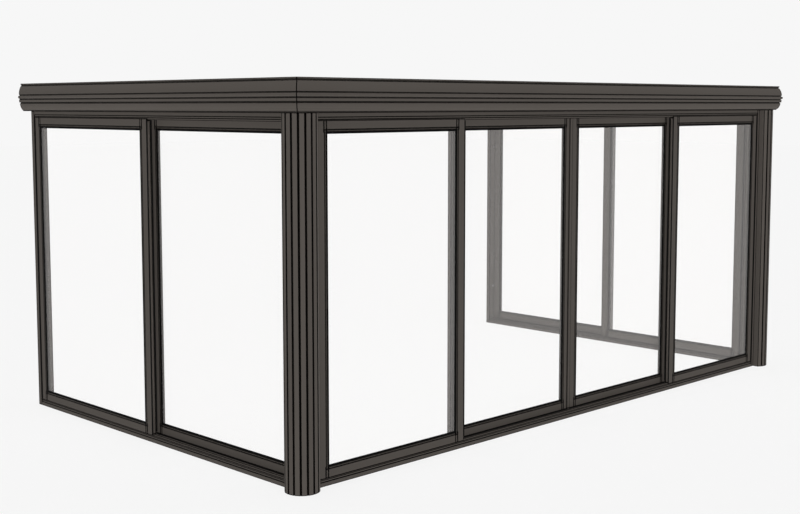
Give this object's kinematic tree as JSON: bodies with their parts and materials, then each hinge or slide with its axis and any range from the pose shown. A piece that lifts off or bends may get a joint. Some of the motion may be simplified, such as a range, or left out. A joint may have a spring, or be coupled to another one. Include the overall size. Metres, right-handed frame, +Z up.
{
  "type": "conservatory",
  "caption": "Glazed conservatory against a house wall: sliding glazed leaves on three sides, fluted corner columns, a moulded cornice and a low glass roof.",
  "frame": {"origin": "centre of the footprint, cornice included, on the ground", "axes": "+Z up, +X along the front wall to the right seen from outside, +Y towards the house wall"},
  "size_m": [5.623, 3.311, 2.509],
  "materials": {
    "frame": "satin powder coat",
    "roof_metal": "satin powder coat",
    "glass": "clear toughened",
    "roof_glass": "clear laminated",
    "gasket": "matt"
  },
  "bodies": {
    "house_frame": {"fixed_leaf_gaskets": "gasket", "front_cornice": "frame", "front_eaves_beam": "frame", "front_gutter": "roof_metal", "front_head": "frame", "front_left_fixed_leaf": "frame", "front_left_fixed_leaf_glass": "glass", "front_right_fixed_leaf": "frame", "front_right_fixed_leaf_glass": "glass", "front_sill": "frame", "left_corner_column": "frame", "left_corner_jambs": "frame", "left_cornice": "frame", "left_eaves_beam": "frame", "left_head": "frame", "left_side_fixed_leaf": "frame", "left_side_fixed_leaf_glass": "glass", "left_sill": "frame", "left_wall_post": "frame", "rafter_caps": "roof_metal", "rafters": "frame", "right_corner_column": "frame", "right_corner_jambs": "frame", "right_cornice": "frame", "right_eaves_beam": "frame", "right_head": "frame", "right_side_fixed_leaf": "frame", "right_side_fixed_leaf_glass": "glass", "right_sill": "frame", "right_wall_post": "frame", "roof_flashings": "roof_metal", "roof_panes": "roof_glass", "wall_beam": "frame"},
    "front_left_sliding_leaf": {"front_left_sliding_leaf": "frame", "front_left_sliding_leaf_gaskets": "gasket", "front_left_sliding_leaf_glass": "glass"},
    "front_right_sliding_leaf": {"front_right_sliding_leaf": "frame", "front_right_sliding_leaf_gaskets": "gasket", "front_right_sliding_leaf_glass": "glass"},
    "left_side_sliding_leaf": {"left_side_sliding_leaf": "frame", "left_side_sliding_leaf_gaskets": "gasket", "left_side_sliding_leaf_glass": "glass"},
    "right_side_sliding_leaf": {"right_side_sliding_leaf": "frame", "right_side_sliding_leaf_gaskets": "gasket", "right_side_sliding_leaf_glass": "glass"}
  },
  "joints": [
    {"name": "front_left_sliding_slide", "type": "slide", "parent": "house_frame", "child": "front_left_sliding_leaf", "axis": [-1, 0, 0], "range_m": [0, 1.247]},
    {"name": "front_right_sliding_slide", "type": "slide", "parent": "house_frame", "child": "front_right_sliding_leaf", "axis": [1, 0, 0], "range_m": [0, 1.247]},
    {"name": "left_side_sliding_slide", "type": "slide", "parent": "house_frame", "child": "left_side_sliding_leaf", "axis": [0, 1, 0], "range_m": [0, 1.472]},
    {"name": "right_side_sliding_slide", "type": "slide", "parent": "house_frame", "child": "right_side_sliding_leaf", "axis": [0, 1, 0], "range_m": [0, 1.472]}
  ]
}
